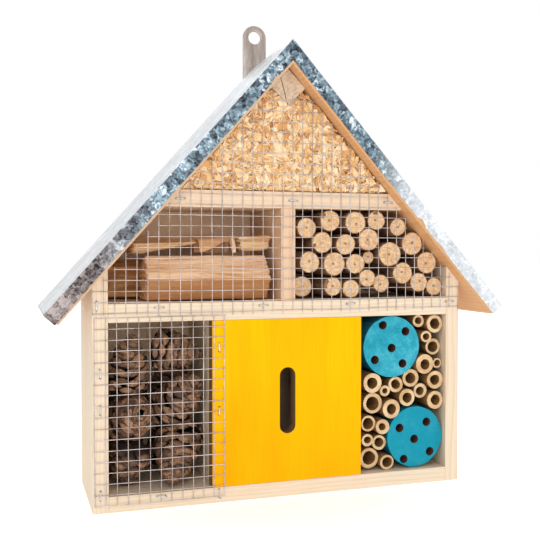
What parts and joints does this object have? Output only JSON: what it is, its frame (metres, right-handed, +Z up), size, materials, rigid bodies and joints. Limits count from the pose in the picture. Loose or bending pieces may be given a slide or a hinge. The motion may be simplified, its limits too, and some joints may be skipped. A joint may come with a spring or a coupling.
{
  "type": "insect hotel",
  "caption": "Small pine house with a sheet-metal roof and rooms filled with shavings, twigs, split wood, cones, canes and drilled blocks behind wire mesh.",
  "frame": {"origin": "middle of the base, on the plane it stands on", "axes": "+X to the right seen from the front, +Y to the back, +Z up"},
  "size_m": [0.2858, 0.0822, 0.3],
  "materials": {
    "pine": "sawn and sanded, untreated",
    "back_board": "thin plywood, untreated",
    "yellow_stained_wood": "yellow wood stain, satin",
    "blue_stained_wood": "turquoise wood stain, matt",
    "galvanised_sheet": "hot-dip galvanised, spangled",
    "mesh_wire": "galvanised wire",
    "hanger_steel": "plain steel, dull",
    "fixing_steel": "bright zinc",
    "bamboo": "sawn bamboo",
    "twig_wood": "sawn end grain with thin bark",
    "split_wood": "rough split",
    "bark": "peeled bark",
    "pine_cone": "dry open scales",
    "shavings": "planed curls"
  },
  "bodies": {
    "root": {"back_panel": "back_board", "back_panel_nails": "fixing_steel", "bamboo_canes_1": "bamboo", "bamboo_canes_2": "bamboo", "bamboo_canes_3": "bamboo", "bamboo_canes_4": "bamboo", "bamboo_canes_5": "bamboo", "bamboo_canes_6": "bamboo", "bark_curl": "bark", "butterfly_panel": "yellow_stained_wood", "floor_board": "pine", "frame_nails": "fixing_steel", "hanger_screws": "fixing_steel", "hanger_strap": "hanger_steel", "large_split_log": "split_wood", "left_roof_board": "pine", "left_side_panel": "pine", "lower_drilled_block": "blue_stained_wood", "lower_left_divider": "pine", "lower_mesh": "mesh_wire", "lower_mesh_staples": "fixing_steel", "lower_right_divider": "pine", "lower_shelf": "pine", "middle_divider": "pine", "pine_cone_01": "pine_cone", "pine_cone_02": "pine_cone", "pine_cone_03": "pine_cone", "pine_cone_04": "pine_cone", "pine_cone_05": "pine_cone", "pine_cone_06": "pine_cone", "pine_cone_07": "pine_cone", "pine_cone_08": "pine_cone", "pine_cone_09": "pine_cone", "pine_cone_10": "pine_cone", "rear_split_log": "split_wood", "ridge_bar": "pine", "right_roof_board": "pine", "right_side_panel": "pine", "roof_nails": "fixing_steel", "roof_sheet": "galvanised_sheet", "sawn_twigs_1": "twig_wood", "sawn_twigs_2": "twig_wood", "sawn_twigs_3": "twig_wood", "sawn_twigs_4": "twig_wood", "sawn_twigs_5": "twig_wood", "split_offcut": "split_wood", "split_slab": "split_wood", "split_wedge": "split_wood", "upper_drilled_block": "blue_stained_wood", "upper_mesh": "mesh_wire", "upper_mesh_staples": "fixing_steel", "upper_shelf": "pine", "wood_shavings": "shavings"}
  },
  "joints": []
}
